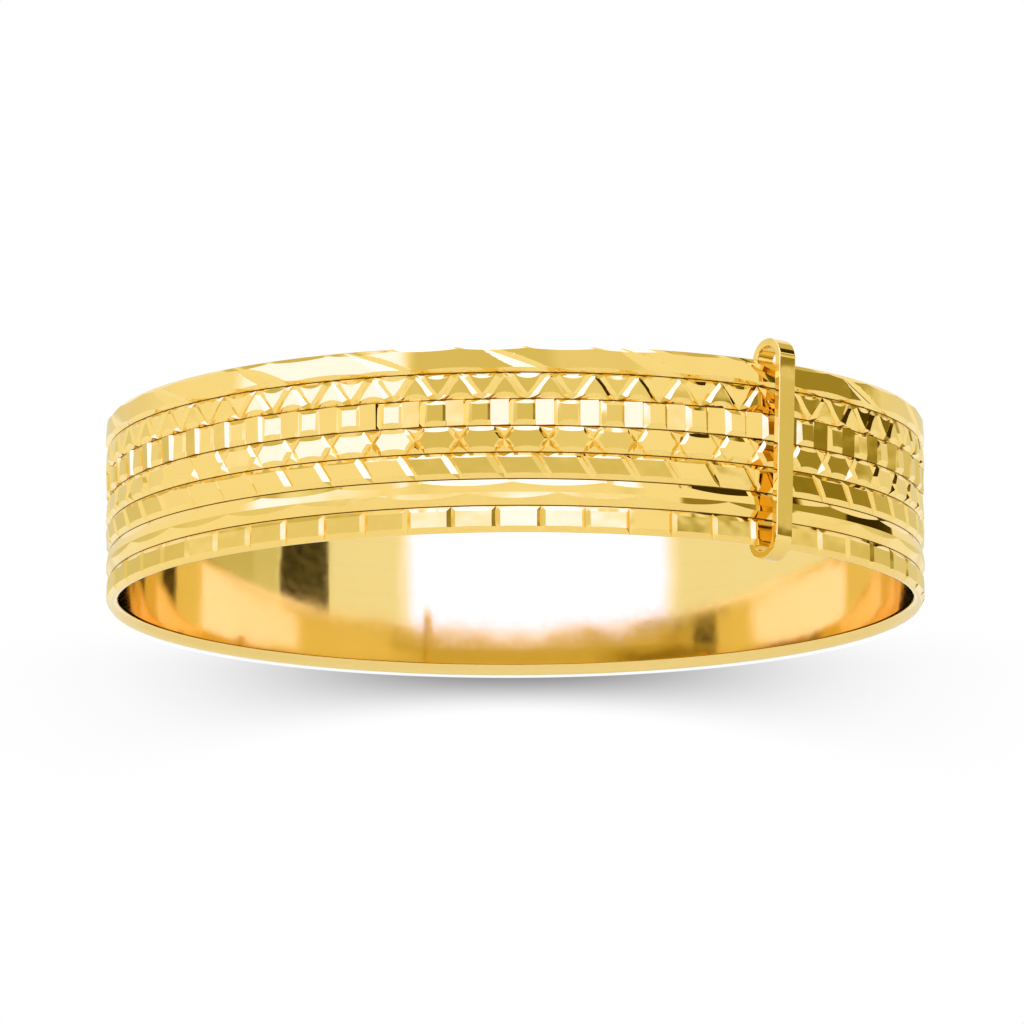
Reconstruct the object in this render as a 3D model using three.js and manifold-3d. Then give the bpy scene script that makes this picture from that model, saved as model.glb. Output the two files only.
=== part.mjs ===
// A set of seven slip-on bangles with a different diamond cut on each, held together by one loose strip keeper.
// Millimetres. +Z is the bangles' common axis, and the origin lies on it at the keeper's lowest point.
// Azimuths are in degrees from -Y, positive towards +X, so 0 is the front of the set.
import * as THREE from "three";
import { mergeVertices } from "three/addons/utils/BufferGeometryUtils.js";
import Module from "manifold-3d";

// Bangles
const insideDiameter = 65.74; // the opening that the hand goes through
const wallThickness = 1.13; // from the inside to the polished outer faces
const bangleHeight = 2.14;
const bangleGap = 0.06; // between two bangles of the closed stack
const topBevelHeight = 0.37;
const bottomBevelHeight = 0.42;
const bevelDepth = 0.28; // how far both bevels draw the edges in
const comfortEdgeHeight = 0.85; // the rounded inner edge of the two end bangles
const comfortEdgeWidth = 0.7;
const comfortEdgeSteps = 3;

// Diamond cuts
const cutsPerRound = 58;
const cutDepth = 0.26; // a little less than the bevels', so that each cut runs out just inside both edges
const cutHalfWidth = 0.38; // of a cut's mouth in the outer face
const cutterMargin = 1; // how far every cutter stands out past the surface
const zigzagRun = 1.7; // sideways run of one zigzag cut over the bangle's height
const crossRun = 1.5;
const slantRun = 1.35;
const squareShare = 0.45; // of the pitch that a raised square takes
const plainFaceDepth = 0.3; // of the plain faces between the squares, which run over both edges

// Long diagonal cuts of the top bangle
const waveCutCount = 19;
const waveCutDepth = 0.17;
const waveCutHalfWidth = 0.3;
const waveCutTilt = 70; // degrees from the axis
const waveScallopCount = 38;
const waveScallopTilt = 34; // degrees, of a scallop's flat from the upright
const waveScallopHeight = 0.34;

// Lens facets of the sixth bangle
const lensCount = 29;
const lensTilt = 16; // degrees from the upright
const lensHeight = 1.03; // of a lens at its tallest, which is nearly half of the bangle

// Keeper
const keeperAzimuth = 38.5;
const keeperLean = -1.9; // degrees about the outward direction, with its top end to the right
const stripWidth = 1.65;
const stripThickness = 0.65;
const keeperInnerPlay = 0.33; // from the back bar to the bangles' inside
const keeperOuterPlay = 0.85; // from the bangles' faces to the front bar
const keeperBottomPlay = 0.5;
const keeperTopPlay = 1.25;
const keeperRoundSteps = 10;

const insideRadius = insideDiameter / 2;
const outsideRadius = insideRadius + wallThickness;
const edgeRadius = outsideRadius - bevelDepth;
const bangleCount = 7;
const banglePitch = bangleHeight + bangleGap;
const stackBottom = stripThickness + keeperBottomPlay;
const stackHeight = bangleCount * banglePitch - bangleGap;
const cutPitch = 360 / cutsPerRound;

const wasm = await Module();
wasm.setup();

// A closed three.js geometry as a solid that can be cut.
function solidFrom(geometry) {
  geometry.deleteAttribute("normal");
  geometry.deleteAttribute("uv");
  const merged = mergeVertices(geometry, 1e-4);
  return new wasm.Manifold(
    new wasm.Mesh({
      numProp: 3,
      vertProperties: merged.attributes.position.array,
      triVerts: new Uint32Array(merged.index.array),
    }),
  );
}

function geometryFrom(solid) {
  const mesh = solid.getMesh();
  const geometry = new THREE.BufferGeometry();
  geometry.setAttribute("position", new THREE.BufferAttribute(mesh.vertProperties, 3));
  geometry.setIndex(new THREE.BufferAttribute(mesh.triVerts, 1));
  geometry.computeVertexNormals();
  return geometry;
}

// Turns a cutter made at azimuth 0 to each of count azimuths and takes them all from the solid.
function cutAround(solid, count, firstAzimuth, makeCutter) {
  let left = solid;
  for (let i = 0; i < count; i++) {
    const cutter = makeCutter();
    cutter.rotateZ(THREE.MathUtils.degToRad(firstAzimuth + (i * 360) / count));
    left = left.subtract(solidFrom(cutter));
  }
  return left;
}

// A prism whose section is drawn in the plane across the axis, standing upright and centred on z = 0.
function uprightPrism(points, length) {
  const section = new THREE.Shape(points.map(([x, y]) => new THREE.Vector2(x, y)));
  const prism = new THREE.ExtrudeGeometry(section, { depth: length, bevelEnabled: false });
  prism.translate(0, 0, -length / 2);
  return prism;
}

// A V-shaped cutter at the front, leaning by tilt degrees: positive takes its top end to the right.
function veeCutter(depth, halfWidth, tilt) {
  const floor = outsideRadius - depth;
  const mouth = outsideRadius + cutterMargin;
  const spread = (halfWidth * (depth + cutterMargin)) / depth;
  const length = (2 * (bangleHeight + cutterMargin)) / Math.cos(THREE.MathUtils.degToRad(tilt));
  const prism = uprightPrism([[0, -floor], [-spread, -mouth], [spread, -mouth]], length);
  prism.rotateY(THREE.MathUtils.degToRad(tilt));
  return prism;
}

function leanFor(run) {
  return THREE.MathUtils.radToDeg(Math.atan(run / bangleHeight));
}

// A cutter with a flat floor that leaves a plain face between two raised squares.
function plainFaceCutter() {
  const pitchLength = (2 * Math.PI * outsideRadius) / cutsPerRound;
  const halfFloor = (pitchLength * (1 - squareShare)) / 2 - cutHalfWidth / 2;
  const floor = outsideRadius - plainFaceDepth;
  const mouth = outsideRadius + cutterMargin;
  const spread = halfFloor + (cutHalfWidth * (mouth - floor)) / cutDepth;
  const corners = [[-halfFloor, -floor], [-spread, -mouth], [spread, -mouth], [halfFloor, -floor]];
  return uprightPrism(corners, 2 * (bangleHeight + cutterMargin));
}

// A flat-bottomed cutter for one lens of a bevel: side is +1 for the upper edge and -1 for the lower one. The flat
// meets the outer face height below the edge at azimuth 0 and leans back by tilt degrees from there.
function lensCutter(side, height, tilt, width) {
  const block = new THREE.BoxGeometry(width, cutterMargin, 2 * (bangleHeight + cutterMargin));
  block.translate(0, -cutterMargin / 2, 0);
  block.rotateX(-side * THREE.MathUtils.degToRad(tilt));
  block.translate(0, -outsideRadius, side * (bangleHeight / 2 - height));
  return block;
}

function cutLenses(solid, side, count, firstAzimuth, height, tilt) {
  const width = 2 * outsideRadius * Math.tan(Math.PI / count) + cutterMargin;
  return cutAround(solid, count, firstAzimuth, () => lensCutter(side, height, tilt, width));
}

// The uncut bangle: a closed profile turned about the axis in flats, with corners at firstAzimuth and on from there.
// bevelled draws its outer edges in, and roundedEnd is +1 or -1 where the upper or lower inner edge is rounded.
function blank(flats, firstAzimuth, { bevelled = true, roundedEnd = 0 } = {}) {
  const top = bangleHeight / 2;
  const outer = bevelled
    ? [[edgeRadius, -top], [outsideRadius, bottomBevelHeight - top], [outsideRadius, top - topBevelHeight], [edgeRadius, top]]
    : [[outsideRadius, -top], [outsideRadius, top]];
  const profile = [...outer, ...innerEdge(1, roundedEnd === 1), ...innerEdge(-1, roundedEnd === -1)];
  const closed = [...profile, profile[0]].map(([r, z]) => new THREE.Vector2(r, z));
  const ring = new THREE.LatheGeometry(closed, flats, THREE.MathUtils.degToRad(firstAzimuth));
  ring.rotateX(Math.PI / 2);
  return solidFrom(ring);
}

// The inner corner at the upper (+1) or lower (-1) edge, as profile points that run on from the outside.
function innerEdge(side, rounded) {
  if (!rounded) return [[insideRadius, (side * bangleHeight) / 2]];
  const points = [];
  for (let i = 0; i <= comfortEdgeSteps; i++) {
    const turn = ((Math.PI / 2) * i) / comfortEdgeSteps;
    points.push([
      insideRadius + comfortEdgeWidth * (1 - Math.sin(turn)),
      side * (bangleHeight / 2 - comfortEdgeHeight * (1 - Math.cos(turn))),
    ]);
  }
  return side === 1 ? points : points.reverse();
}

// One function for each bangle's cut, from the top of the stack down.
function waveBangle() {
  const flats = 4 * waveCutCount;
  let solid = blank(flats, 4.1, { bevelled: false, roundedEnd: 1 });
  solid = cutLenses(solid, 1, waveScallopCount, -0.6, waveScallopHeight, waveScallopTilt);
  solid = cutLenses(solid, -1, waveScallopCount, 4.1, waveScallopHeight, waveScallopTilt);
  return cutAround(solid, waveCutCount, -0.3, () => veeCutter(waveCutDepth, waveCutHalfWidth, -waveCutTilt));
}

function zigzagBangle() {
  const tilt = leanFor(zigzagRun);
  let solid = blank(cutsPerRound, 0.2 + cutPitch / 4);
  solid = cutAround(solid, cutsPerRound, 0.2, () => veeCutter(cutDepth, cutHalfWidth, -tilt));
  return cutAround(solid, cutsPerRound, 0.2 + cutPitch / 2, () => veeCutter(cutDepth, cutHalfWidth, tilt));
}

function squaresBangle() {
  const squareCentre = 1.27;
  const solid = blank(cutsPerRound, squareCentre + cutPitch / 2);
  return cutAround(solid, cutsPerRound, squareCentre + cutPitch / 2, plainFaceCutter);
}

function crossBangle() {
  const crossing = 4.7;
  const tilt = leanFor(crossRun);
  let solid = blank(cutsPerRound, crossing);
  solid = cutAround(solid, cutsPerRound, crossing, () => veeCutter(cutDepth, cutHalfWidth, -tilt));
  return cutAround(solid, cutsPerRound, crossing, () => veeCutter(cutDepth, cutHalfWidth, tilt));
}

function slantBangle() {
  const firstCut = 3.66;
  const solid = blank(cutsPerRound, firstCut);
  return cutAround(solid, cutsPerRound, firstCut, () => veeCutter(cutDepth, cutHalfWidth, -leanFor(slantRun)));
}

function lensBangle() {
  const upperCentre = 5.85;
  const lowerCentre = upperCentre - 180 / lensCount;
  let solid = blank(4 * lensCount, upperCentre, { bevelled: false });
  solid = cutLenses(solid, 1, lensCount, upperCentre, lensHeight, lensTilt);
  return cutLenses(solid, -1, lensCount, lowerCentre, lensHeight, lensTilt);
}

function uprightBangle() {
  const firstCut = 3.55;
  const solid = blank(cutsPerRound, firstCut, { roundedEnd: -1 });
  return cutAround(solid, cutsPerRound, firstCut, () => veeCutter(cutDepth, cutHalfWidth, 0));
}

// A stadium in the (outward, up) plane: two straight sides joined by half circles of the given radius.
function stadium(centre, radius, bottom, top) {
  const path = new THREE.Path();
  path.absarc(centre, bottom + radius, radius, Math.PI, 2 * Math.PI, false);
  path.absarc(centre, top - radius, radius, 0, Math.PI, false);
  path.closePath();
  return path;
}

// The keeper: one strip bent into a closed loop with round ends, round the stack from top to bottom.
function keeperGeometry() {
  const innerFace = insideRadius - keeperInnerPlay;
  const outerFace = outsideRadius + keeperOuterPlay;
  const centre = (innerFace + outerFace) / 2;
  const slotRadius = (outerFace - innerFace) / 2;
  const loopRadius = slotRadius + stripThickness;
  const loopTop = stackBottom + stackHeight + keeperTopPlay + stripThickness;
  const section = new THREE.Shape(stadium(centre, loopRadius, 0, loopTop).getPoints(keeperRoundSteps));
  section.holes.push(stadium(centre, slotRadius, stripThickness, loopTop - stripThickness));
  const strip = new THREE.ExtrudeGeometry(section, {
    depth: stripWidth,
    bevelEnabled: false,
    curveSegments: keeperRoundSteps,
  });
  strip.translate(0, 0, -stripWidth / 2);
  strip.rotateX(Math.PI / 2);
  strip.rotateZ(-Math.PI / 2);
  return leanedAboutItsMiddle(strip, loopTop / 2);
}

// Leans the loop about the outward line through its middle, then stands it on z = 0 again.
function leanedAboutItsMiddle(strip, middle) {
  strip.translate(0, 0, -middle);
  strip.rotateY(THREE.MathUtils.degToRad(-keeperLean));
  strip.computeBoundingBox();
  strip.translate(0, 0, -strip.boundingBox.min.z);
  strip.deleteAttribute("normal");
  strip.deleteAttribute("uv");
  return mergeVertices(strip, 1e-4);
}

function gold(colour, roughness) {
  return new THREE.MeshStandardMaterial({ color: colour, metalness: 1, roughness, flatShading: true });
}

const bangleCuts = [
  waveBangle,
  zigzagBangle,
  squaresBangle,
  crossBangle,
  slantBangle,
  lensBangle,
  uprightBangle,
];

const bangleSet = new THREE.Group();
bangleSet.name = "bangle_set";

bangleCuts.forEach((makeCut, i) => {
  const bangle = new THREE.Mesh(geometryFrom(makeCut()), gold(0xe8c268, 0.08));
  bangle.name = `bangle_${i + 1}`;
  bangle.position.z = stackBottom + stackHeight - bangleHeight / 2 - i * banglePitch;
  bangleSet.add(bangle);
});

const keeper = new THREE.Mesh(keeperGeometry(), gold(0xd9b45c, 0.12));
keeper.name = "keeper";
keeper.rotation.z = THREE.MathUtils.degToRad(keeperAzimuth);
bangleSet.add(keeper);

export default bangleSet;
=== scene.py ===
import math

import bpy
import numpy as np
from mathutils import Matrix, Vector


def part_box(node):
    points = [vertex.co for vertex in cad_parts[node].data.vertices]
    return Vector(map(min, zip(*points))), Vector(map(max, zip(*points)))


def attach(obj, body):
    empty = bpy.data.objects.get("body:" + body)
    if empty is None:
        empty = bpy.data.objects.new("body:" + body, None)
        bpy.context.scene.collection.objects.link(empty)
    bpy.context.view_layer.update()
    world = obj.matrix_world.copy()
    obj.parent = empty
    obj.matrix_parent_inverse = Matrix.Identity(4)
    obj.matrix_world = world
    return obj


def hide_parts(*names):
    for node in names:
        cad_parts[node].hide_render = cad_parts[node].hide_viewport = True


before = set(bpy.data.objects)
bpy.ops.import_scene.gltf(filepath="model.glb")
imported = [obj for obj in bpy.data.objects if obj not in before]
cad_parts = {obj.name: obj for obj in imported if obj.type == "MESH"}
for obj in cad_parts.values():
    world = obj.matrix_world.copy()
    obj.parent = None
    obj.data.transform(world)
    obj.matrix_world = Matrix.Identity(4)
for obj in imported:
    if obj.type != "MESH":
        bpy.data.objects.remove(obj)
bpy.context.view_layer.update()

# Seven diamond-cut gold bangles stacked on one axis, and the loose strip keeper round them.
# Sizes in the dictionaries are millimetres and degrees; meshes are metres, in the CAD model's frame.
# An azimuth is counted from -Y towards +X, so 0 is the front of the set.

mm = 0.001
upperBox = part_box("bangle_1")
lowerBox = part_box("bangle_7")
stackMiddle = (upperBox[1][2] + lowerBox[0][2]) / 2
print("stage: frame loaded")

cameraView = {
    "elevation": -10.5,
    "distance": 1360,
    "lens": 575,
    "sensor": 36,
    "farthest": 20,  # metres
    "roll": -0.22,
    "aside": -0.27,  # the aim's place to the right of the bangles' axis
    "raised": 0.2,  # and above the middle of the stack
}


# The camera looks at the aim from the distance, along a line at the elevation, rolled about that line.
def makeCamera(values):
    data = bpy.data.cameras.new("camera")
    data.lens = values["lens"]
    data.sensor_width = values["sensor"]
    data.clip_end = values["farthest"]
    camera = bpy.data.objects.new("camera", data)
    bpy.context.scene.collection.objects.link(camera)
    elevation = math.radians(values["elevation"])
    back = Vector((0, -math.cos(elevation), math.sin(elevation)))
    aim = Vector((values["aside"] * mm, 0, stackMiddle + values["raised"] * mm))
    turn = back.to_track_quat("Z", "Y").to_matrix().to_4x4()
    turn = turn @ Matrix.Rotation(math.radians(values["roll"]), 4, "Z")
    camera.matrix_world = Matrix.Translation(aim + back * values["distance"] * mm) @ turn
    bpy.context.scene.camera = camera


makeCamera(cameraView)
print("stage: camera set")


# Puts a grid of points, rows x columns x 3 and closed both ways, into a mesh of quads. Its faces point
# outwards when rows run up the outside and columns run round with the azimuth. bands gives each row's
# material.
def closedGrid(name, points, bands, materials, sharpFrom):
    rows, columns = points.shape[:2]
    index = np.arange(rows * columns).reshape(rows, columns)
    nextRow = np.roll(index, -1, axis=0)
    corners = np.stack([index, np.roll(index, -1, axis=1), np.roll(nextRow, -1, axis=1), nextRow], axis=-1)
    mesh = bpy.data.meshes.new(name)
    mesh.vertices.add(rows * columns)
    mesh.vertices.foreach_set("co", points.reshape(-1))
    mesh.loops.add(4 * rows * columns)
    mesh.loops.foreach_set("vertex_index", corners.reshape(-1).astype(np.int32))
    mesh.polygons.add(rows * columns)
    mesh.polygons.foreach_set("loop_start", np.arange(0, 4 * rows * columns, 4, dtype=np.int32))
    mesh.polygons.foreach_set("material_index", np.repeat(np.asarray(bands, dtype=np.int32), columns))
    mesh.polygons.foreach_set("use_smooth", np.ones(rows * columns, dtype=bool))
    mesh.update(calc_edges=True)
    mesh.validate()
    for material in materials:
        mesh.materials.append(material)
    mesh.set_sharp_from_angle(angle=math.radians(sharpFrom))
    piece = bpy.data.objects.new(name, mesh)
    bpy.context.scene.collection.objects.link(piece)
    return piece


# What the seven bangles share. Places across are lengths along the outside, from the middle of a cut.
bangleSizes = {
    "outsideRadius": 34.0,
    "wallThickness": 1.13,
    "seamGap": 0.002,  # between two bangles of the closed stack
    "edgeRound": 0.05,
    "bevelDepth": 0.28,  # how far the bevels' outer edges lie inside outsideRadius
    "topBevel": 0.40,
    "bottomBevel": 0.44,
    "cutDepth": 0.26,
    "cutEndWidth": 0.025,  # half of a cut's width where it runs out
    "cutsPerRound": 58,
    "faceColumns": 7,
    "floorLean": 0,
    "floorShift": 0,
    "comfortEdgeHeight": 0.85,
    "comfortEdgeWidth": 0.75,
    "comfortEdgeRows": 14,
    "crispEdge": 0.001,
}
outsideRadius = bangleSizes["outsideRadius"]
insideRadius = outsideRadius - bangleSizes["wallThickness"]
banglePitch = (upperBox[1][2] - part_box("bangle_2")[1][2]) / mm
halfHeight = (banglePitch - bangleSizes["seamGap"]) / 2
halfOuter = halfHeight - bangleSizes["edgeRound"]
pitchLength = 2 * math.pi * outsideRadius / bangleSizes["cutsPerRound"]
edgeRadius = outsideRadius - bangleSizes["bevelDepth"]


# Radius of a flat face: its apothem, less the height times the lean's tangent, over the cosine of the angle
# from its centre.
def flatRadius(across, centre, up, lean, flats):
    apothem = outsideRadius * math.cos(math.pi / flats)
    return (apothem - up * math.tan(math.radians(lean))) / np.cos((across - centre) / outsideRadius)


# Height of a bevel's crest along a face: full in the middle, and less towards the two ends with the
# square of the distance from the middle. share runs from 0 to 1 along the face.
def archedBevel(height, arch, share):
    return height * (1 - arch * (2 * share - 1) ** 2)


waveBangle = {
    **bangleSizes,
    "waveCount": 19,  # long cuts round the bangle
    "firstAzimuth": -0.3,
    "waveColumns": 110,
    "waveRows": 21,
    "crestSteps": 24,
    "cutTilt": 70,  # from upright
    "cutDepth": 0.17,
    "cutHalfWidth": 0.5,
    "scallopsPerCut": 2,
    "topScallop": 1.2,  # where a scallop of the upper bevel starts
    "bottomScallop": 3.9,
    "topBevel": 0.32,
    "bottomBevel": 0.36,
    "topArch": 0.5,
    "bottomArch": 0.4,
    "faceLean": 3.5,
    "sharpFrom": 5,
}


# One repeat of a long shallow diagonal cut between two scalloped bevels. Rows follow the scallops'
# crests, whose heights are found by repetition because the columns run along the cut. Between the crests
# the surface is the lower of the leaning outside and the cut's two flat walls, which rise with the
# distance from its floor.
def waveCuts(values):
    half, columns = halfOuter, values["waveColumns"]
    repeat = 2 * math.pi * outsideRadius / values["waveCount"]
    tilt = math.radians(values["cutTilt"])
    nominal = (np.arange(columns) / columns - 0.5) * repeat
    scallop = repeat / values["scallopsPerCut"]

    def crestHeight(edge, bevel, arch, first):
        height = np.full(columns, edge)
        for again in range(values["crestSteps"]):
            phase = np.mod(nominal - height * math.tan(tilt) - first, scallop) / scallop
            height = edge - math.copysign(1, edge) * archedBevel(bevel, arch, phase)
        return height

    topCrest = crestHeight(half, values["topBevel"], values["topArch"], values["topScallop"])
    bottomCrest = crestHeight(-half, values["bottomBevel"], values["bottomArch"], values["bottomScallop"])
    share = np.linspace(0, 1, values["waveRows"])[:, None]
    middle = bottomCrest + (topCrest - bottomCrest) * share
    up = np.vstack([np.full((1, columns), -half), middle, np.full((1, columns), half)])
    across = nominal - up * math.tan(tilt)
    near = np.mod(across + repeat / 2, repeat) - repeat / 2
    fromFloor = np.abs(near * math.cos(tilt) + up * math.sin(tilt))
    wall = outsideRadius - values["cutDepth"] + fromFloor * values["cutDepth"] / values["cutHalfWidth"]
    surface = outsideRadius - up * math.tan(math.radians(values["faceLean"]))
    radius = np.minimum(surface, wall / np.cos(near / outsideRadius))
    radius[[0, -1]] = edgeRadius
    return across, radius, up


zigzagBangle = {
    **bangleSizes,
    "firstAzimuth": 0.2,
    "triangleColumns": 7,
    "run": 1.7,  # how far a cut goes aside from edge to edge
    "cutDepth": 0.178,
    "cutHalfWidth": 0.39,
    "cutCrestWidth": 0.385,  # half of a cut's width at the bevels' crests
    "arch": 0.28,
    "archEnds": 0.22,
    "faceLean": 5.5,  # of the hanging triangles
    "standingLean": 2.4,
    "sharpFrom": 5,
}


# One repeat of zigzag cuts: a falling cut, a hanging triangle, a rising cut and a standing triangle. The
# middles of the triangles are a quarter and three quarters along. Each has one arched bevel, over its
# broad side.
def zigzagCuts(values):
    half, thin = halfOuter, values["cutEndWidth"]
    wide, narrow = values["cutHalfWidth"], values["cutCrestWidth"]
    columns = values["triangleColumns"]
    share = np.linspace(0, 1, columns)
    crest = np.array([-half, -half + values["bottomBevel"], 0, half - values["topBevel"], half])[:, None]
    falling = -values["run"] * crest / (2 * half)
    rising = pitchLength / 2 + values["run"] * crest / (2 * half)
    lips = np.array([thin, narrow, wide, narrow, thin])[:, None]
    hanging = falling + lips + (rising - falling - 2 * lips) * share
    standing = rising + lips + (falling + pitchLength - rising - 2 * lips) * share
    across = np.hstack([falling, hanging, rising, standing])
    up = np.repeat(crest, 2 * columns + 2, axis=1)
    arch = values["arch"] * (1 - (2 * share - 1) ** 2) - values["archEnds"]
    hangingPart, standingPart = slice(1, columns + 1), slice(columns + 2, None)
    up[3, hangingPart] -= arch
    up[1, standingPart] += arch
    radius = np.repeat(outsideRadius - values["cutDepth"] * lips / wide, 2 * columns + 2, axis=1)
    flats = 2 * values["cutsPerRound"]
    for part, centre, lean in ((hangingPart, 1 / 4, "faceLean"), (standingPart, 3 / 4, "standingLean")):
        radius[:, part] = flatRadius(across[:, part], centre * pitchLength, up[:, part], values[lean], flats)
    radius[[0, -1]] = edgeRadius
    return across, radius, up


squareBangle = {
    **bangleSizes,
    "firstAzimuth": 2.83,
    "plainColumns": 4,
    "plainStart": 0.03,  # places across of the plain face's two sides
    "plainEnd": 1.5,
    "plainDepth": 0.13,
    "plainTurn": 8,
    "plainLean": -1.6,
    "squareColumns": 4,
    "squareStart": 1.73,
    "leftBevel": 0.45,
    "rightBevel": 0.22,
    "topBevel": 0.36,
    "topArch": 0.08,
    "bottomArch": 0.15,
    "cutDepth": 0.22,
    "stepDepth": 0.3,  # of the foot of the squares' left bevels
    "faceLean": 3.2,
    "sharpFrom": 5,
}


# One repeat of a raised square with four bevels and a lower plain face that runs over the full height.
# The plain face is turned on its upright middle line: its radius is multiplied by the cosine of the turn
# over the cosine of the angle from the middle plus the turn.
def squareCuts(values):
    half, thin = halfOuter, values["cutEndWidth"]
    plainColumns, squareColumns = values["plainColumns"], values["squareColumns"]
    plain = np.linspace(values["plainStart"], values["plainEnd"], plainColumns)
    share = np.linspace(0, 1, squareColumns)
    left = np.array([thin, values["leftBevel"], values["leftBevel"], thin])[:, None]
    right = np.array([thin, values["rightBevel"], values["rightBevel"], thin])[:, None]
    start = values["squareStart"]
    square = start + left + (pitchLength - start - left - right) * share
    across = np.hstack([np.zeros((4, 1)), np.tile(plain, (4, 1)), np.full((4, 1), start), square])
    crest = np.array([-half, -half + values["bottomBevel"], half - values["topBevel"], half])[:, None]
    up = np.repeat(crest, plainColumns + squareColumns + 2, axis=1)
    plainPart, squarePart = slice(1, plainColumns + 1), slice(plainColumns + 2, None)
    up[2, squarePart] = half - archedBevel(values["topBevel"], values["topArch"], share)
    up[1, squarePart] = -half + archedBevel(values["bottomBevel"], values["bottomArch"], share)
    radius = np.full_like(up, outsideRadius - values["cutDepth"])
    radius[:, plainColumns + 1] = outsideRadius - values["stepDepth"]
    turn = math.radians(values["plainTurn"])
    plainMiddle = (values["plainStart"] + values["plainEnd"]) / 2
    fromMiddle = (across[:, plainPart] - plainMiddle) / outsideRadius
    rise = up[:, plainPart] * math.tan(math.radians(values["plainLean"]))
    plainRadius = outsideRadius - values["plainDepth"] - rise
    radius[:, plainPart] = plainRadius * math.cos(turn) / np.cos(fromMiddle + turn)
    squareAcross, squareUp = across[:, squarePart], up[:, squarePart]
    centre, flats = (start + pitchLength) / 2, values["cutsPerRound"]
    radius[:, squarePart] = flatRadius(squareAcross, centre, squareUp, values["faceLean"], flats)
    radius[0, squarePart] = edgeRadius
    radius[-1, squarePart] = edgeRadius
    return across, radius, up


crossBangle = {
    **bangleSizes,
    "firstAzimuth": 4.7,
    "run": 1.5,
    "pinch": 0.004,  # keeps the columns apart where the cuts cross
    "cutDepth": 0.28,
    "cutHalfWidth": 0.38,
    "topArch": 0.2,
    "bottomArch": 0.3,
    "faceLean": 3.6,
    "sharpFrom": 5,
}


# One repeat of two cuts that cross at mid-height. Columns: floor and inner lip of the left arms, inner
# lip and floor of the right arms, then the hexagon. The arms stand off the crossing in proportion to the
# height from it.
def crossCuts(values):
    half, wide, thin = halfOuter, values["cutHalfWidth"], values["cutEndWidth"]
    tip = wide * 2 * half / values["run"]  # height at which the inner lips meet
    lowerCrest, upperCrest = -half + values["bottomBevel"], half - values["topBevel"]
    up = np.array([-half, lowerCrest, -tip, 0, tip, upperCrest, half])[:, None]
    arm = values["run"] * np.abs(up) / (2 * half)
    lips = np.array([thin, wide, wide, wide, wide, wide, thin])[:, None]
    inner = np.maximum(arm - lips, values["pinch"])
    floor = np.maximum(arm, 2 * values["pinch"])
    share = np.linspace(0, 1, values["faceColumns"])
    hexagon = arm + lips + (pitchLength - 2 * (arm + lips)) * share
    across = np.hstack([-floor, -inner, inner, floor, hexagon])
    up = np.repeat(up, across.shape[1], axis=1)
    up[-2, 4:] = half - archedBevel(values["topBevel"], values["topArch"], share)
    up[1, 4:] = -half + archedBevel(values["bottomBevel"], values["bottomArch"], share)
    radius = flatRadius(across, pitchLength / 2, up, values["faceLean"], values["cutsPerRound"])
    tipFace = outsideRadius - up[:, 1:3] * math.tan(math.radians(values["faceLean"]))
    cutFloor = outsideRadius - values["cutDepth"]
    radius[:, 1:3] = np.where(np.abs(up[:, 1:3]) > tip / 2, tipFace, cutFloor)
    radius[:, [0, 3]] = cutFloor
    radius[[0, -1]] = edgeRadius
    return across, radius, up


slantBangle = {
    **bangleSizes,
    "firstAzimuth": 3.66,
    "run": 1.35,
    "cutDepth": 0.225,
    "cutHalfWidth": 0.44,
    "cutCrestWidth": 0.43,
    "floorShift": 0.15,  # of a cut's floor towards its right lip
    "topArch": 0.1,
    "bottomArch": 0.1,
    "faceLean": -2.6,
    "sharpFrom": 5,
}
uprightBangle = {
    **bangleSizes,
    "firstAzimuth": 3.55,
    "run": 0,
    "cutHalfWidth": 0.36,
    "cutCrestWidth": 0.355,
    "floorLean": 2,
    "topArch": 0.1,
    "bottomArch": 0.05,
    "faceLean": 1.1,
    "sharpFrom": 7,
}


# One repeat of slanted or upright V cuts. Columns: the cut's floor, then the flat face from lip to lip.
# Rows: lower edge, lower crest, middle, upper crest, upper edge. A cut goes aside in proportion to
# height, and its depth at each row is in proportion to its width there, so that each wall stays one flat
# facet.
def straightCuts(values):
    half, thin = halfOuter, values["cutEndWidth"]
    wide, narrow = values["cutHalfWidth"], values["cutCrestWidth"]
    share = np.linspace(0, 1, values["faceColumns"])
    lowerCrest = -half + archedBevel(values["bottomBevel"], values["bottomArch"], share)
    upperCrest = half - archedBevel(values["topBevel"], values["topArch"], share)
    edge = np.full_like(share, half)
    up = np.stack([-edge, lowerCrest, 0 * edge, upperCrest, edge])
    lips = np.array([thin, narrow, wide, narrow, thin])[:, None]
    across = lips + (pitchLength - 2 * lips) * share
    up = np.hstack([up[:, :1], up])
    across = np.hstack([values["floorShift"] * lips / wide, across])
    across = across - values["run"] * up / (2 * half)
    radius = flatRadius(across, pitchLength / 2, up, values["faceLean"], values["cutsPerRound"])
    rise = up[:, :1] * math.tan(math.radians(values["floorLean"]))
    radius[:, :1] = outsideRadius - values["cutDepth"] * lips / wide - rise
    radius[[0, -1]] = edgeRadius
    return across, radius, up


lensBangle = {
    **bangleSizes,
    "lensCount": 29,
    "firstAzimuth": -0.35,
    "lensColumns": 20,
    "waist": -0.03,  # height of the line between the strip and the lower lens
    "thinnest": 0.04,  # least height of the lower lens
    "rimBevel": 0.2,  # least height of the upper bevel
    "upperDrop": 0.32,
    "lowerDrop": 0.5,
    "stripLean": 9,
    "faceLean": -1.5,
    "sharpFrom": 3,
}


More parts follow.
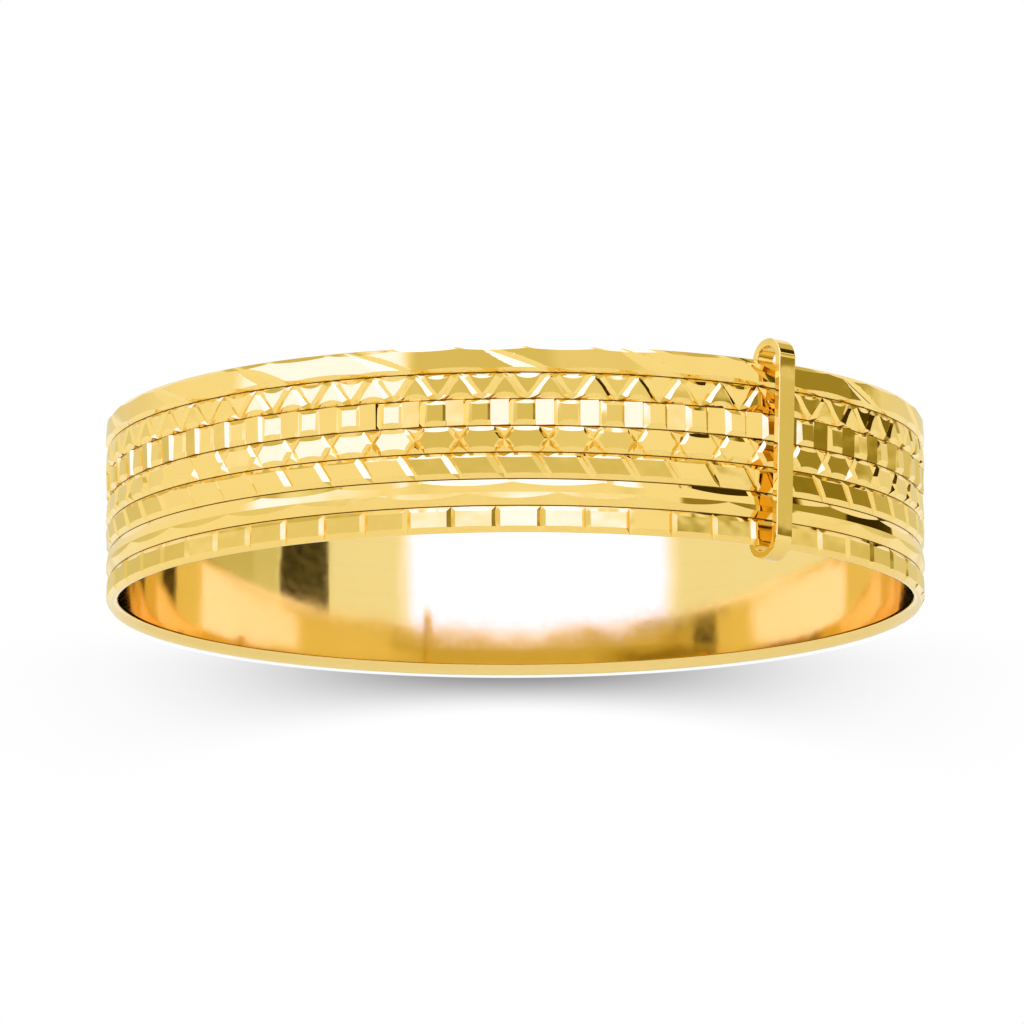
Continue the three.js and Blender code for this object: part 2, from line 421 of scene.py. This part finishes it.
# One repeat of the lens facets. The upper bevel hangs lowest at the repeat's middle and the lower lens at
# its ends, and both rise with the square of the distance from there. Between them a leaning strip lies
# over the waist.
def lensCuts(values):
    half, columns, waist = halfOuter, values["lensColumns"], values["waist"]
    share = np.arange(columns) / columns
    fromMiddle = (2 * share - 1) ** 2
    fromEnd = np.minimum(2 * share, 2 - 2 * share) ** 2
    thinnest = values["thinnest"]
    upperCrest = half - values["rimBevel"] - values["upperDrop"] * (1 - fromMiddle)
    lowerCrest = waist - thinnest - (values["lowerDrop"] - thinnest) * (1 - fromEnd)
    one = np.ones(columns)
    up = np.stack([-half * one, lowerCrest, waist * one, upperCrest, half * one])
    upperRadius = outsideRadius - (upperCrest - waist) * math.tan(math.radians(values["stripLean"]))
    lowerRadius = outsideRadius - (waist - lowerCrest) * math.tan(math.radians(values["faceLean"]))
    radius = np.stack([edgeRadius * one, lowerRadius, outsideRadius * one, upperRadius, edgeRadius * one])
    across = np.tile(share * 2 * math.pi * outsideRadius / values["lensCount"], (len(up), 1))
    return across, radius, up


# Profile rows of the wall's inside, from the upper edge down, each a radius and a height. A comfort edge
# is a quarter of an ellipse: out by one minus the sine and down by one minus the cosine of an evenly
# growing angle.
def insideRows(values, roundedTop, roundedBottom):
    turn = np.linspace(0, math.pi / 2, values["comfortEdgeRows"])
    wide, tall = values["comfortEdgeWidth"], values["comfortEdgeHeight"]
    comfortRadius = insideRadius + wide * (1 - np.sin(turn))
    comfortHeight = halfHeight - tall * (1 - np.cos(turn))
    comfort = np.stack([comfortRadius, comfortHeight], axis=1)
    small = values["crispEdge"]
    crisp = np.array([[insideRadius + small, halfHeight], [insideRadius, halfHeight - small]])
    upper = comfort if roundedTop else crisp
    lower = (comfort if roundedBottom else crisp)[::-1] * (1, -1)
    return np.vstack([upper, lower])


# Turns one repeat of an outside into a whole bangle: the repeat goes round count times from firstAzimuth,
# and the inside rows close the wall. Point = (radius sin azimuth, -radius cos azimuth, height).
def wholeBangle(name, values, repeat, count, roundedTop=False, roundedBottom=False):
    across, radius, up = repeat
    small = values["edgeRound"]
    across = np.vstack([across[:1], across, across[-1:]])
    radius = np.vstack([radius[:1] - small, radius, radius[-1:] - small])
    up = np.vstack([np.full_like(up[:1], -halfHeight), up, np.full_like(up[:1], halfHeight)])
    inside = insideRows(values, roundedTop, roundedBottom)
    columns = across.shape[1]
    middle = np.tile(across.mean(axis=0), (len(inside), 1))
    across = np.vstack([across, middle])
    radius = np.vstack([radius, np.repeat(inside[:, :1], columns, axis=1)])
    up = np.vstack([up, np.repeat(inside[:, 1:], columns, axis=1)])
    step = 2 * math.pi / count
    azimuth = math.radians(values["firstAzimuth"]) + across / outsideRadius
    azimuth = (azimuth[:, None, :] + step * np.arange(count)[None, :, None]).reshape(len(up), -1)
    radius, up = np.tile(radius, (1, count)), np.tile(up, (1, count))
    low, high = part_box(name)
    height = (low[2] + high[2]) / 2 + up * mm
    points = np.stack([radius * np.sin(azimuth) * mm, -radius * np.cos(azimuth) * mm, height], axis=-1)
    outsideBands = points.shape[0] - len(inside)
    cutBand, insideBand, shadedSeamBand = 0, 1, 2  # places in the list of materials
    bands = [cutBand] * outsideBands + [insideBand] * len(inside)
    # The chamfers at a seam with the next bangle get the seam material, whose dark colour is painted shade
    # in the groove.
    if not roundedBottom:
        bands[0] = shadedSeamBand
    if not roundedTop:
        bands[outsideBands - 2] = shadedSeamBand
    piece = closedGrid("cut_" + name, points, bands, [goldCut, goldInside, seamPaintedShade], values["sharpFrom"])
    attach(piece, name)
    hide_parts(name)


# Colours, roughness, and the waviness of the polish. waveSize is the noise's scale, so more makes it finer.
goldCutFinish = {
    "colour": (0.956, 0.701, 0.223, 1),
    "deeper": (0.93, 0.66, 0.19, 1),
    "roughness": 0.045,
    "waveSize": 500,
    "waveHeight": 0.01,
}
goldInsideFinish = {
    "colour": (0.915, 0.70, 0.265, 1),
    "deeper": (0.895, 0.665, 0.23, 1),
    "roughness": 0.07,
    "waveSize": 180,
    "waveHeight": 0.03,
}
seamPaintedShadeFinish = {  # the dull groove between two bangles, painted dark brown as the shade that falls in it
    "colour": (0.34, 0.2, 0.03, 1),
    "deeper": (0.26, 0.15, 0.02, 1),
    "roughness": 0.35,
    "waveSize": 400,
    "waveHeight": 0,
}
goldStripFinish = {
    "colour": (0.95, 0.69, 0.215, 1),
    "deeper": (0.92, 0.65, 0.185, 1),
    "roughness": 0.06,
    "waveSize": 400,
    "waveHeight": 0.02,
}
goldGrain = {
    "toneSize": 260,
    "toneDetail": 3,
    "rubSize": 1400,
    "rubDetail": 4,
    "leastRubbed": 0.6,  # shares of the finish's roughness
    "mostRubbed": 1.5,
    "waveDetail": 1,
}


# A noise pattern on the piece's own coordinates.
def noisePattern(tree, place, size, detail):
    noise = tree.nodes.new("ShaderNodeTexNoise")
    noise.inputs["Scale"].default_value = size
    noise.inputs["Detail"].default_value = detail
    tree.links.new(place.outputs["Object"], noise.inputs["Vector"])
    return noise.outputs["Fac"]


# Polished gold: two close tones mixed by soft noise, finer noise in the roughness, and a faint waviness.
def goldMaterial(name, finish, grain):
    material = bpy.data.materials.new(name)
    material.use_nodes = True
    tree = material.node_tree
    nodes, links = tree.nodes, tree.links
    shader = nodes["Principled BSDF"]
    shader.inputs["Metallic"].default_value = 1
    place = nodes.new("ShaderNodeTexCoord")
    tone = noisePattern(tree, place, grain["toneSize"], grain["toneDetail"])
    mix = nodes.new("ShaderNodeMix")
    mix.data_type = "RGBA"
    mix.inputs["A"].default_value = finish["colour"]
    mix.inputs["B"].default_value = finish["deeper"]
    links.new(tone, mix.inputs["Factor"])
    links.new(mix.outputs["Result"], shader.inputs["Base Color"])
    spread = nodes.new("ShaderNodeMapRange")
    spread.inputs["To Min"].default_value = finish["roughness"] * grain["leastRubbed"]
    spread.inputs["To Max"].default_value = finish["roughness"] * grain["mostRubbed"]
    links.new(noisePattern(tree, place, grain["rubSize"], grain["rubDetail"]), spread.inputs["Value"])
    links.new(spread.outputs["Result"], shader.inputs["Roughness"])
    bump = nodes.new("ShaderNodeBump")
    bump.inputs["Strength"].default_value = 1
    bump.inputs["Distance"].default_value = finish["waveHeight"] * mm
    links.new(noisePattern(tree, place, finish["waveSize"], grain["waveDetail"]), bump.inputs["Height"])
    links.new(bump.outputs["Normal"], shader.inputs["Normal"])
    return material


goldCut = goldMaterial("goldCut", goldCutFinish, goldGrain)
goldInside = goldMaterial("goldInside", goldInsideFinish, goldGrain)
# Painted shade for the grooves between bangles.
seamPaintedShade = goldMaterial("seamPaintedShade", seamPaintedShadeFinish, goldGrain)
goldStrip = goldMaterial("goldStrip", goldStripFinish, goldGrain)
print("stage: gold mixed")

cuts = bangleSizes["cutsPerRound"]
wholeBangle("bangle_1", waveBangle, waveCuts(waveBangle), waveBangle["waveCount"], roundedTop=True)
wholeBangle("bangle_2", zigzagBangle, zigzagCuts(zigzagBangle), cuts)
wholeBangle("bangle_3", squareBangle, squareCuts(squareBangle), cuts)
wholeBangle("bangle_4", crossBangle, crossCuts(crossBangle), cuts)
wholeBangle("bangle_5", slantBangle, straightCuts(slantBangle), cuts)
wholeBangle("bangle_6", lensBangle, lensCuts(lensBangle), lensBangle["lensCount"])
wholeBangle("bangle_7", uprightBangle, straightCuts(uprightBangle), cuts, roundedBottom=True)
print("stage: seven bangles cut")

keeperStrip = {
    "azimuth": 38.5,
    "lean": 1.9,  # of its upper end towards the right, seen from outside
    "outerFace": 35.5,
    "innerFace": 31.89,
    "width": 1.65,
    "thickness": 0.65,
    "cornerRound": 0.09,
    "cornerRows": 5,
    "bendColumns": 28,
    "barColumns": 6,
    "sharpFrom": 9,
}


# The keeper's middle line is two straight bars and two half circles. Its section is a rectangle with round
# corners, square to that line all the way. Point = line + outward part of the section + sideways part.
def makeKeeper(values):
    low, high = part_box("keeper")
    halfLoop = (high[2] - low[2]) / mm / 2
    thick, wide = values["thickness"] / 2, values["width"] / 2
    lean = math.radians(values["lean"])
    bend = (values["outerFace"] - values["innerFace"]) / 2 - thick
    centre = (values["outerFace"] + values["innerFace"]) / 2
    straight = halfLoop - thick - bend - wide * math.sin(lean)
    turn = np.linspace(0, math.pi, values["bendColumns"])
    bar = np.linspace(-1, 1, values["barColumns"] + 2)[1:-1] * straight
    bendOut, bendUp = bend * np.cos(turn), straight + bend * np.sin(turn)
    out = np.concatenate([bendOut, np.full_like(bar, -bend), -bendOut, np.full_like(bar, bend)])
    rise = np.concatenate([bendUp, -bar, -bendUp, bar])
    face = np.concatenate([turn, np.full_like(bar, math.pi), turn + math.pi, np.zeros_like(bar)])
    corner = np.linspace(0, math.pi / 2, values["cornerRows"])
    soft = values["cornerRound"]
    starts = np.arange(4) * math.pi / 2
    spread = (starts[:, None] + corner).reshape(-1)
    offOut = np.repeat([1, -1, -1, 1], values["cornerRows"]) * (thick - soft) + soft * np.cos(spread)
    offSide = np.repeat([1, 1, -1, -1], values["cornerRows"]) * (wide - soft) + soft * np.sin(spread)
    radial = centre + out[None, :] + offOut[:, None] * np.cos(face)[None, :]
    up = rise[None, :] + offOut[:, None] * np.sin(face)[None, :]
    side = np.repeat(offSide[:, None], len(out), axis=1)
    side, up = side * math.cos(lean) + up * math.sin(lean), up * math.cos(lean) - side * math.sin(lean)
    azimuth = math.radians(values["azimuth"])
    x = radial * math.sin(azimuth) + side * math.cos(azimuth)
    y = -radial * math.cos(azimuth) + side * math.sin(azimuth)
    z = (low[2] + high[2]) / 2 + up * mm
    points = np.stack([x * mm, y * mm, z], axis=-1)
    piece = closedGrid("keeper_strip", points, [0] * len(points), [goldStrip], values["sharpFrom"])
    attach(piece, "keeper")
    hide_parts("keeper")


makeKeeper(keeperStrip)
print("stage: keeper bent")


# Gives a function that adds a maths node to a tree; its inputs are numbers or the outputs of other nodes.
def calculator(tree):
    def calculate(operation, *inputs):
        node = tree.nodes.new("ShaderNodeMath")
        node.operation = operation
        for socket, value in zip(node.inputs, inputs):
            if isinstance(value, (int, float)):
                socket.default_value = value
            else:
                tree.links.new(value, socket)
        return node.outputs[0]

    return calculate


stageFloor = {
    "floorSize": 8.0,  # metres
    "floorDrop": 2.5,  # room for a lower bangle to open downwards from the keeper
    "floorTone": (0.865, 0.885, 0.91, 1),
    "floorGlow": 0.12,
    "shadeDepth": 0.75,
    "shadeWidth": 20.5,
    "shadeSpread": 0.036,
    "shadeStart": 24,
    "shadeEnd": 46,
    "outlineShift": 6.2,  # along the line of sight, from height 0 to the height of the bangles' lower edge
    "outlineSoft": 0.25,
}


# The floor shows its upper side only, so that a camera below its level still sees the bangles. From below it
# shows just a painted soft shade behind them, in the colour of its see-through side. That shade is a bell
# curve of the distance aside, times a smooth fall from shadeStart back to an end that moves away with the
# square of the distance aside, and it comes in smoothly from the axis to shadeStart. There is none inside
# the bangles' outline as seen from below. Distances behind are taken where the line of sight meets height 0.
def makeFloor(values):
    half = values["floorSize"] / 2
    sight = math.radians(-cameraView["elevation"])
    mesh = bpy.data.meshes.new("floor")
    low = -values["floorDrop"] * mm
    corners = [(-half, -half, low), (half, -half, low), (half, half, low), (-half, half, low)]
    mesh.from_pydata(corners, [], [(0, 1, 2, 3)])
    floor = bpy.data.objects.new("floor", mesh)
    bpy.context.scene.collection.objects.link(floor)
    material = bpy.data.materials.new("floorPale")
    material.use_nodes = True
    nodes, links = material.node_tree.nodes, material.node_tree.links
    nodes.remove(nodes["Principled BSDF"])
    matt = nodes.new("ShaderNodeBsdfDiffuse")
    matt.inputs["Color"].default_value = values["floorTone"]
    glow = nodes.new("ShaderNodeEmission")
    glow.inputs["Color"].default_value = values["floorTone"]
    glow.inputs["Strength"].default_value = values["floorGlow"]
    lit = nodes.new("ShaderNodeAddShader")
    links.new(matt.outputs["BSDF"], lit.inputs[0])
    links.new(glow.outputs["Emission"], lit.inputs[1])
    clear = nodes.new("ShaderNodeBsdfTransparent")
    calculate = calculator(material.node_tree)
    place = nodes.new("ShaderNodeTexCoord")
    parts = nodes.new("ShaderNodeSeparateXYZ")
    links.new(place.outputs["Object"], parts.inputs[0])
    aside = calculate("MULTIPLY", parts.outputs["X"], 1 / mm)
    nearer = values["floorDrop"] / math.tan(sight)
    behind = calculate("MULTIPLY_ADD", parts.outputs["Y"], 1 / mm, nearer)
    asideSquare = calculate("MULTIPLY", aside, aside)
    bell = calculate("EXPONENT", calculate("MULTIPLY", asideSquare, -1 / values["shadeWidth"] ** 2))
    end = calculate("MULTIPLY_ADD", asideSquare, values["shadeSpread"], values["shadeEnd"])
    fall = nodes.new("ShaderNodeMapRange")
    fall.interpolation_type = "SMOOTHSTEP"
    fall.inputs["From Min"].default_value = values["shadeStart"]
    fall.inputs["To Min"].default_value = values["shadeDepth"]
    fall.inputs["To Max"].default_value = 0
    links.new(behind, fall.inputs["Value"])
    links.new(end, fall.inputs["From Max"])
    shifted = calculate("ADD", behind, values["outlineShift"])
    fromAxis = calculate("SQRT", calculate("MULTIPLY_ADD", shifted, shifted, asideSquare))
    outline = nodes.new("ShaderNodeMapRange")
    outline.inputs["From Min"].default_value = edgeRadius
    outline.inputs["From Max"].default_value = edgeRadius + values["outlineSoft"]
    links.new(fromAxis, outline.inputs["Value"])
    isBehind = nodes.new("ShaderNodeMapRange")
    isBehind.interpolation_type = "SMOOTHSTEP"
    isBehind.inputs["From Max"].default_value = values["shadeStart"]
    links.new(behind, isBehind.inputs["Value"])
    shade = calculate("MULTIPLY", bell, fall.outputs["Result"])
    shade = calculate("MULTIPLY", shade, outline.outputs["Result"])
    shade = calculate("MULTIPLY", shade, isBehind.outputs["Result"])
    # The painted shade darkens what is seen through the floor's under side.
    links.new(calculate("SUBTRACT", 1.0, shade), clear.inputs["Color"])
    facing = nodes.new("ShaderNodeNewGeometry")
    mix = nodes.new("ShaderNodeMixShader")
    links.new(facing.outputs["Backfacing"], mix.inputs["Fac"])
    links.new(lit.outputs["Shader"], mix.inputs[1])
    links.new(clear.outputs["BSDF"], mix.inputs[2])
    links.new(mix.outputs["Shader"], nodes["Material Output"].inputs["Surface"])
    mesh.materials.append(material)


roomLight = {
    "worldLevel": 1.0,
    "greenPower": 1.15,  # a card dimmer than the room is warmer, a lamp brighter than the room is cooler
    "bluePower": 2.6,
    "lampBluePower": 4.2,
    "highestBlue": 4.6,
}

# Lamps (level above 1) and cards (below 1) round the set. Azimuth and elevation are of the middle, and
# soft is the softness of the side edges. Upper and lower edges are a third as soft.
studioCards = {
    "frontLamp": dict(azimuth=-7, elevation=10.5, width=78, height=4.2, soft=9, level=1.5),
    "frontLampFoot": dict(azimuth=-1, elevation=7.2, width=48, height=3, soft=14, level=1.45),
    "frontLampCrown": dict(azimuth=5, elevation=13.2, width=17, height=2.4, soft=14, level=1.45),
    "leftLamp": dict(azimuth=-57, elevation=20, width=54, height=13, soft=9, level=1.36),
    "leftDimCard": dict(azimuth=-74, elevation=12.6, width=80, height=1.8, soft=3, level=0.84),
    "cameraCard": dict(azimuth=-8, elevation=21, width=44, height=13, soft=6, level=0.74),
    "rightOfCameraCard": dict(azimuth=24, elevation=21, width=26, height=13, soft=6, level=0.86),
    "lowCard": dict(azimuth=6, elevation=2.5, width=68, height=8, soft=5, level=0.72),
    "rightCard": dict(azimuth=104, elevation=20.3, width=46, height=12.2, soft=4, level=0.36),
    "blackFlag": dict(azimuth=124, elevation=18.5, width=26, height=7.4, soft=1.5, level=0.04),
    "lowRightCard": dict(azimuth=108, elevation=4.5, width=52, height=9.5, soft=4, level=0.32),
    "plainCard": dict(azimuth=96, elevation=7.8, width=76, height=2.2, soft=2, level=0.27),
    "narrowFlag": dict(azimuth=65.5, elevation=10.5, width=16.5, height=2.4, soft=1, level=0.02),
    "leftWallCard": dict(azimuth=108, elevation=10.5, width=56, height=2.6, soft=5, level=0.64),
    "rightWallCard": dict(azimuth=-130, elevation=10.5, width=46, height=2.6, soft=8, level=0.64),
    "keeperCard": dict(azimuth=79, elevation=10.5, width=9, height=2.6, soft=2, level=0.74),
    "brownFlag": dict(azimuth=67, elevation=13.8, width=38, height=2.8, soft=3, level=0.3),
    "highFrontLamp": dict(azimuth=0, elevation=50, width=88, height=38, soft=4, level=1.6),
    "highFlag": dict(azimuth=84, elevation=44, width=36, height=28, soft=3, level=0.05),
    "ceilingLamp": dict(azimuth=0, elevation=80, width=360, height=22, soft=9, level=1.5),
    "leftHighCard": dict(azimuth=-112, elevation=55, width=76, height=22, soft=12, level=0.68),
    "rightHighCard": dict(azimuth=118, elevation=55, width=54, height=22, soft=10, level=0.64),
    "goldenGap": dict(azimuth=41, elevation=36, width=22, height=11, soft=5, level=0.9),
    "backCard": dict(azimuth=180, elevation=9, width=120, height=9, soft=30, level=0.74),
}


# The world is one room level with the cards mixed over it in turn. A card's mask is 1 within its width
# and height and falls smoothly to 0 over its soft edge, by the distance in azimuth and in elevation from
# its middle. Gold sees the level to a higher power in green and blue, everything else sees it grey, and
# the camera sees white.
def makeWorld(values, cards):
    world = bpy.data.worlds.new("studio")
    bpy.context.scene.world = world
    world.use_nodes = True
    nodes, links = world.node_tree.nodes, world.node_tree.links
    calculate = calculator(world.node_tree)

    def fading(distance, half, soft):
        node = nodes.new("ShaderNodeMapRange")
        node.interpolation_type = "SMOOTHSTEP"
        node.inputs["From Min"].default_value = half - soft / 2
        node.inputs["From Max"].default_value = half + soft / 2
        node.inputs["To Min"].default_value = 1
        node.inputs["To Max"].default_value = 0
        links.new(distance, node.inputs["Value"])
        return node.outputs["Result"]

    place = nodes.new("ShaderNodeTexCoord")
    parts = nodes.new("ShaderNodeSeparateXYZ")
    links.new(place.outputs["Generated"], parts.inputs[0])
    backwards = calculate("MULTIPLY", parts.outputs["Y"], -1.0)
    azimuth = calculate("DEGREES", calculate("ARCTAN2", parts.outputs["X"], backwards))
    elevation = calculate("DEGREES", calculate("ARCSINE", parts.outputs["Z"]))
    level = calculate("ADD", values["worldLevel"], 0.0)
    for card in cards.values():
        aside = calculate("WRAP", calculate("SUBTRACT", azimuth, card["azimuth"]), 180.0, -180.0)
        across = fading(calculate("ABSOLUTE", aside), card["width"] / 2, card["soft"])
        above = calculate("ABSOLUTE", calculate("SUBTRACT", elevation, card["elevation"]))
        mask = calculate("MULTIPLY", across, fading(above, card["height"] / 2, card["soft"] / 3))
        change = calculate("MULTIPLY", mask, calculate("SUBTRACT", card["level"], level))
        level = calculate("ADD", level, change)
    bright = calculate("GREATER_THAN", level, 1.0)
    extra = values["lampBluePower"] - values["bluePower"]
    blueness = calculate("ADD", calculate("MULTIPLY", bright, extra), values["bluePower"])
    colour = nodes.new("ShaderNodeCombineXYZ")
    links.new(level, colour.inputs[0])
    links.new(calculate("POWER", level, values["greenPower"]), colour.inputs[1])
    blue = calculate("MINIMUM", calculate("POWER", level, blueness), values["highestBlue"])
    links.new(blue, colour.inputs[2])
    path = nodes.new("ShaderNodeLightPath")
    onGold = nodes.new("ShaderNodeMix")
    onGold.data_type = "RGBA"
    links.new(path.outputs["Is Glossy Ray"], onGold.inputs["Factor"])
    links.new(level, onGold.inputs["A"])
    links.new(colour.outputs[0], onGold.inputs["B"])
    plain = nodes.new("ShaderNodeMix")
    plain.data_type = "RGBA"
    plain.inputs["B"].default_value = (1, 1, 1, 1)
    links.new(path.outputs["Is Camera Ray"], plain.inputs["Factor"])
    links.new(onGold.outputs["Result"], plain.inputs["A"])
    links.new(plain.outputs["Result"], nodes["Background"].inputs["Color"])


makeFloor(stageFloor)
makeWorld(roomLight, studioCards)
bpy.context.scene.view_settings.view_transform = "Standard"
print("stage: floor and light set")
